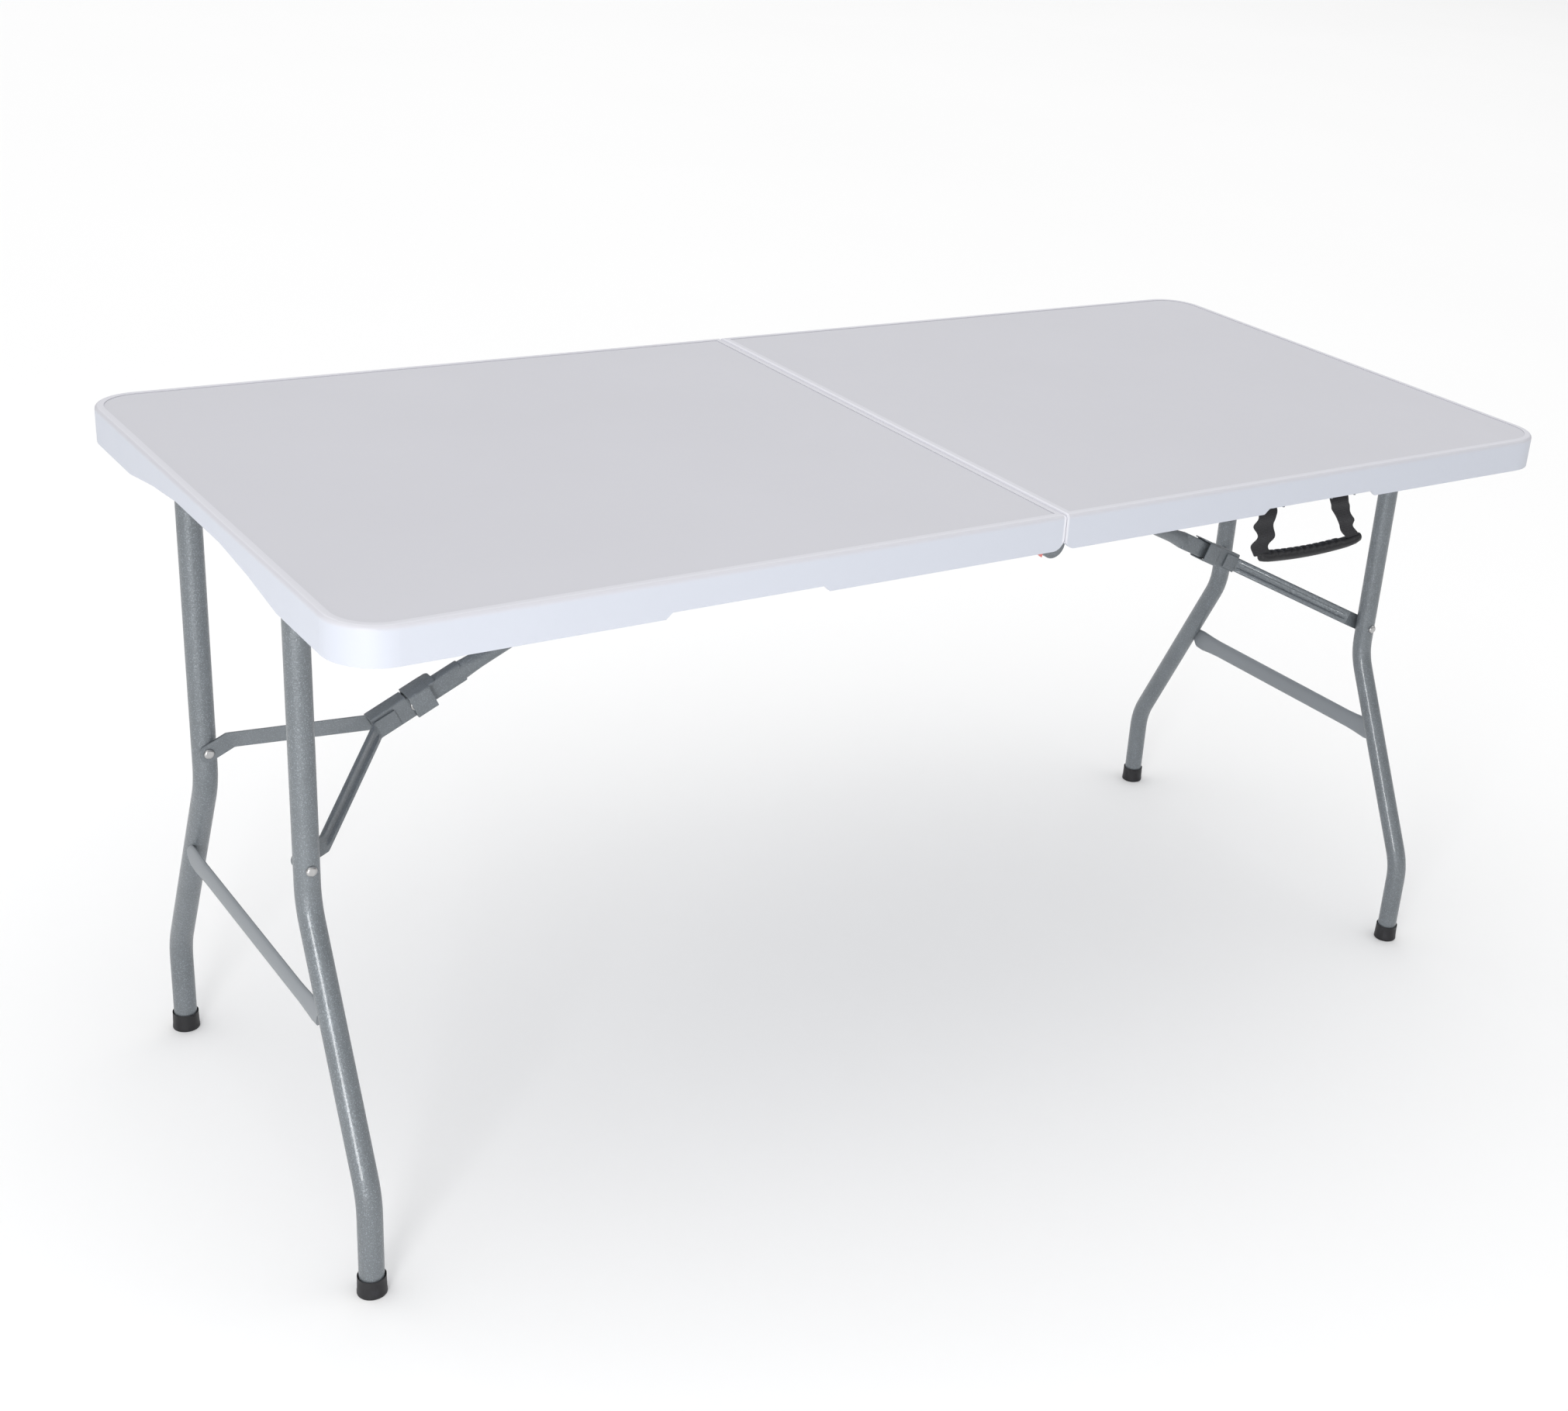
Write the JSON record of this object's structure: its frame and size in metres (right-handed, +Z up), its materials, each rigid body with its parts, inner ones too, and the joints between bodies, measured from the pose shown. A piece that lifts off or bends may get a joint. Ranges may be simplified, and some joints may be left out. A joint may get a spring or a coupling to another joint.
{
  "type": "folding table",
  "caption": "Folding table that halves like a suitcase: moulded panels hinged at the seam, folding tube leg frames, jointed locking braces and a webbing carrying handle.",
  "frame": {"origin": "on the floor under the middle of the unfolded, standing table", "axes": "+X along the table's length towards the half with the carrying handle, +Y from the handle side to the rear, +Z up"},
  "size_m": [1.52, 0.7, 0.74],
  "materials": {
    "panel_plastic": "finely textured polyethylene",
    "leg_coat": "hammered grey powder coat",
    "frame_coat": "dark grey powder coat",
    "bright_steel": "zinc plated",
    "foot_plastic": "satin black",
    "webbing": "woven",
    "grip_plastic": "ribbed, satin black",
    "catch_plastic": "smooth red"
  },
  "bodies": {
    "half_left": {"left_panel": "panel_plastic", "left_rail_front": "frame_coat", "left_rail_rear": "frame_coat", "left_rail_screws": "bright_steel", "left_hinge_front": "frame_coat", "left_hinge_rear": "frame_coat", "left_brace_anchor": "frame_coat", "left_anchor_pin": "bright_steel", "left_anchor_screws": "bright_steel", "hinge_pin_front": "bright_steel", "hinge_pin_rear": "bright_steel", "catch_pin": "bright_steel"},
    "left_leg_frame": {"left_leg_front": "leg_coat", "left_leg_rear": "leg_coat", "left_leg_axle": "leg_coat", "left_axle_nuts": "bright_steel", "left_crossbar": "leg_coat", "left_foot_cap_front": "foot_plastic", "left_foot_cap_rear": "foot_plastic", "left_leg_rivets": "bright_steel"},
    "left_bar": {"left_brace_bar": "frame_coat"},
    "left_yoke": {"left_clevis": "frame_coat", "left_arm_front": "frame_coat", "left_arm_rear": "frame_coat", "left_arm_rivets": "bright_steel", "left_elbow_pin": "bright_steel"},
    "left_ring": {"left_lock_ring": "frame_coat"},
    "half_right": {"right_panel": "panel_plastic", "right_rail_front": "frame_coat", "right_rail_rear": "frame_coat", "right_rail_screws": "bright_steel", "right_hinge_front": "frame_coat", "right_hinge_rear": "frame_coat", "right_brace_anchor": "frame_coat", "right_anchor_pin": "bright_steel", "right_anchor_screws": "bright_steel", "handle_hangers": "frame_coat", "handle_pins": "bright_steel"},
    "right_leg_frame": {"right_leg_front": "leg_coat", "right_leg_rear": "leg_coat", "right_leg_axle": "leg_coat", "right_axle_nuts": "bright_steel", "right_crossbar": "leg_coat", "right_foot_cap_front": "foot_plastic", "right_foot_cap_rear": "foot_plastic", "right_leg_rivets": "bright_steel"},
    "right_bar": {"right_brace_bar": "frame_coat"},
    "right_yoke": {"right_clevis": "frame_coat", "right_arm_front": "frame_coat", "right_arm_rear": "frame_coat", "right_arm_rivets": "bright_steel", "right_elbow_pin": "bright_steel"},
    "right_ring": {"right_lock_ring": "frame_coat"},
    "handle": {"handle_strap_left": "webbing", "handle_strap_right": "webbing", "handle_grip": "grip_plastic"},
    "catch": {"safety_catch": "catch_plastic"}
  },
  "joints": [
    {"name": "center_fold", "type": "hinge", "parent": "half_left", "child": "half_right", "pos_m": [0, 0, 0.702], "axis": [0, 1, 0], "range_deg": [0, 90]},
    {"name": "right_leg_fold", "type": "hinge", "parent": "half_right", "child": "right_leg_frame", "pos_m": [0.723, 0, 0.717], "axis": [0, 1, 0], "range_deg": [0, 90]},
    {"name": "right_bar_swing", "type": "hinge", "parent": "half_right", "child": "right_bar", "pos_m": [0.075, 0, 0.7233], "axis": [0, -1, 0], "range_deg": [0, 25.44]},
    {"name": "right_yoke_fold", "type": "hinge", "parent": "right_bar", "child": "right_yoke", "pos_m": [0.55517, 0, 0.49485], "axis": [0, 1, 0], "range_deg": [0, 178.06]},
    {"name": "right_ring_slide", "type": "slide", "parent": "right_bar", "child": "right_ring", "axis": [-0.903, 0, 0.4296], "range_m": [0, 0.12001]},
    {"name": "left_leg_fold", "type": "hinge", "parent": "half_left", "child": "left_leg_frame", "pos_m": [-0.723, 0, 0.717], "axis": [0, -1, 0], "range_deg": [0, 90]},
    {"name": "left_bar_swing", "type": "hinge", "parent": "half_left", "child": "left_bar", "pos_m": [-0.075, 0, 0.7233], "axis": [0, 1, 0], "range_deg": [0, 25.44]},
    {"name": "left_yoke_fold", "type": "hinge", "parent": "left_bar", "child": "left_yoke", "pos_m": [-0.55517, 0, 0.49485], "axis": [0, -1, 0], "range_deg": [0, 178.06]},
    {"name": "left_ring_slide", "type": "slide", "parent": "left_bar", "child": "left_ring", "axis": [0.903, 0, 0.4296], "range_m": [0, 0.12001]},
    {"name": "handle_swing", "type": "hinge", "parent": "half_right", "child": "handle", "pos_m": [0.3585, -0.338, 0.709], "axis": [-1, 0, 0], "range_deg": [-20, 45]},
    {"name": "catch_turn", "type": "hinge", "parent": "half_left", "child": "catch", "pos_m": [-0.034, -0.3355, 0.712], "axis": [0, -1, 0], "range_deg": [0, 35]}
  ],
  "couplings": [
    {"joint": "right_bar_swing", "follows": "right_leg_fold", "ratio": 0.28271},
    {"joint": "right_yoke_fold", "follows": "right_leg_fold", "ratio": 1.9784},
    {"joint": "right_ring_slide", "follows": "right_leg_fold", "m_per_rad": 0.076394},
    {"joint": "left_bar_swing", "follows": "left_leg_fold", "ratio": 0.28271},
    {"joint": "left_yoke_fold", "follows": "left_leg_fold", "ratio": 1.9784},
    {"joint": "left_ring_slide", "follows": "left_leg_fold", "m_per_rad": 0.076394}
  ]
}
